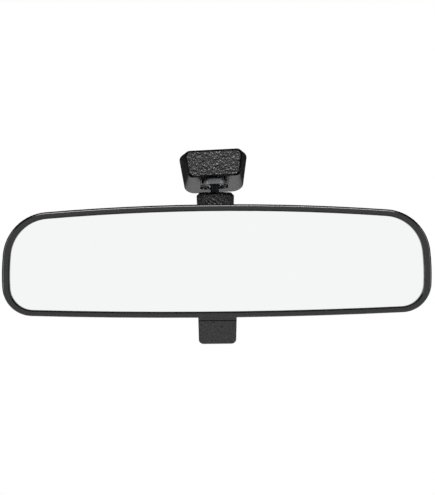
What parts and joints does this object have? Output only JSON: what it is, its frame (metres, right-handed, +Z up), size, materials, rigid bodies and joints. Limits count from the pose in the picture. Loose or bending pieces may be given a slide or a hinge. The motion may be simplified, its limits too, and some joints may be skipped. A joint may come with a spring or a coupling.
{
  "type": "interior rearview mirror",
  "caption": "Interior rearview mirror with day and night tab, prismatic glass in a black housing, ball-jointed arm and windscreen foot.",
  "frame": {"origin": "middle of the foot's seat on the windscreen", "axes": "+X to the right facing the glass, +Y towards the windscreen, +Z up"},
  "size_m": [0.2449, 0.0694, 0.1149],
  "materials": {
    "grained_black": "fine moulded grain",
    "satin_black": "satin",
    "nylon_black": "moulded",
    "nylon": "natural",
    "die_cast": "as cast",
    "steel": "zinc plated",
    "glass": "polished",
    "silvering": "silvered",
    "foam": "foamed"
  },
  "bodies": {
    "foot": {"foot_housing": "grained_black", "foot_core": "die_cast", "upper_ball_stud": "steel", "lock_plate": "steel", "lock_spring": "steel", "foot_screws": "steel"},
    "upper_cup": {"upper_ball_cup": "nylon"},
    "upper_ring": {"upper_ball_ring": "nylon"},
    "arm": {"arm_body": "grained_black", "arm_collar": "nylon_black", "disc_springs": "steel", "spring_seat": "nylon_black", "lower_ball_stud": "steel"},
    "lower_cup": {"lower_ball_cup": "nylon"},
    "lower_ring": {"lower_ball_ring": "nylon"},
    "bracket": {"toggle_bracket": "nylon_black", "ball_retainer": "nylon_black", "retainer_screws": "steel"},
    "case": {"rear_housing": "satin_black", "bezel": "satin_black", "prism_glass": "glass", "silver_coating": "silvering", "foam_pads": "foam", "pivot_pin": "steel", "lever_pin": "steel", "detent_spring": "steel", "spring_screw": "steel"},
    "lever": {"day_night_lever": "grained_black", "crank_pin": "steel"}
  },
  "joints": [
    {"name": "arm_swing", "type": "hinge", "parent": "foot", "child": "upper_cup", "pos_m": [0.00085, -0.00805, -0.01948], "axis": [0, 0, 1], "range_deg": [-30, 30]},
    {"name": "arm_lift", "type": "hinge", "parent": "upper_cup", "child": "upper_ring", "pos_m": [0.00085, -0.00805, -0.01948], "axis": [1, 0, 0], "range_deg": [-15, 15]},
    {"name": "arm_sway", "type": "hinge", "parent": "upper_ring", "child": "arm", "pos_m": [0.00085, -0.00805, -0.01948], "axis": [0, 1, 0], "range_deg": [-10, 10]},
    {"name": "head_pan", "type": "hinge", "parent": "arm", "child": "lower_cup", "pos_m": [0.00085, -0.03655, -0.05098], "axis": [0, 0, 1], "range_deg": [-20, 20]},
    {"name": "head_nod", "type": "hinge", "parent": "lower_cup", "child": "lower_ring", "pos_m": [0.00085, -0.03655, -0.05098], "axis": [1, 0, 0], "range_deg": [-15, 15]},
    {"name": "head_roll", "type": "hinge", "parent": "lower_ring", "child": "bracket", "pos_m": [0.00085, -0.03655, -0.05098], "axis": [0, 1, 0], "range_deg": [-10, 10]},
    {"name": "day_night", "type": "hinge", "parent": "bracket", "child": "case", "pos_m": [0.00085, -0.04305, -0.03198], "axis": [1, 0, 0], "range_deg": [-4, 0]},
    {"name": "lever_flip", "type": "hinge", "parent": "case", "child": "lever", "pos_m": [0.00085, -0.04075, -0.07698], "axis": [1, 0, 0], "range_deg": [-36, 0]}
  ],
  "couplings": [
    {"joint": "lever_flip", "follows": "day_night", "ratio": 9}
  ]
}
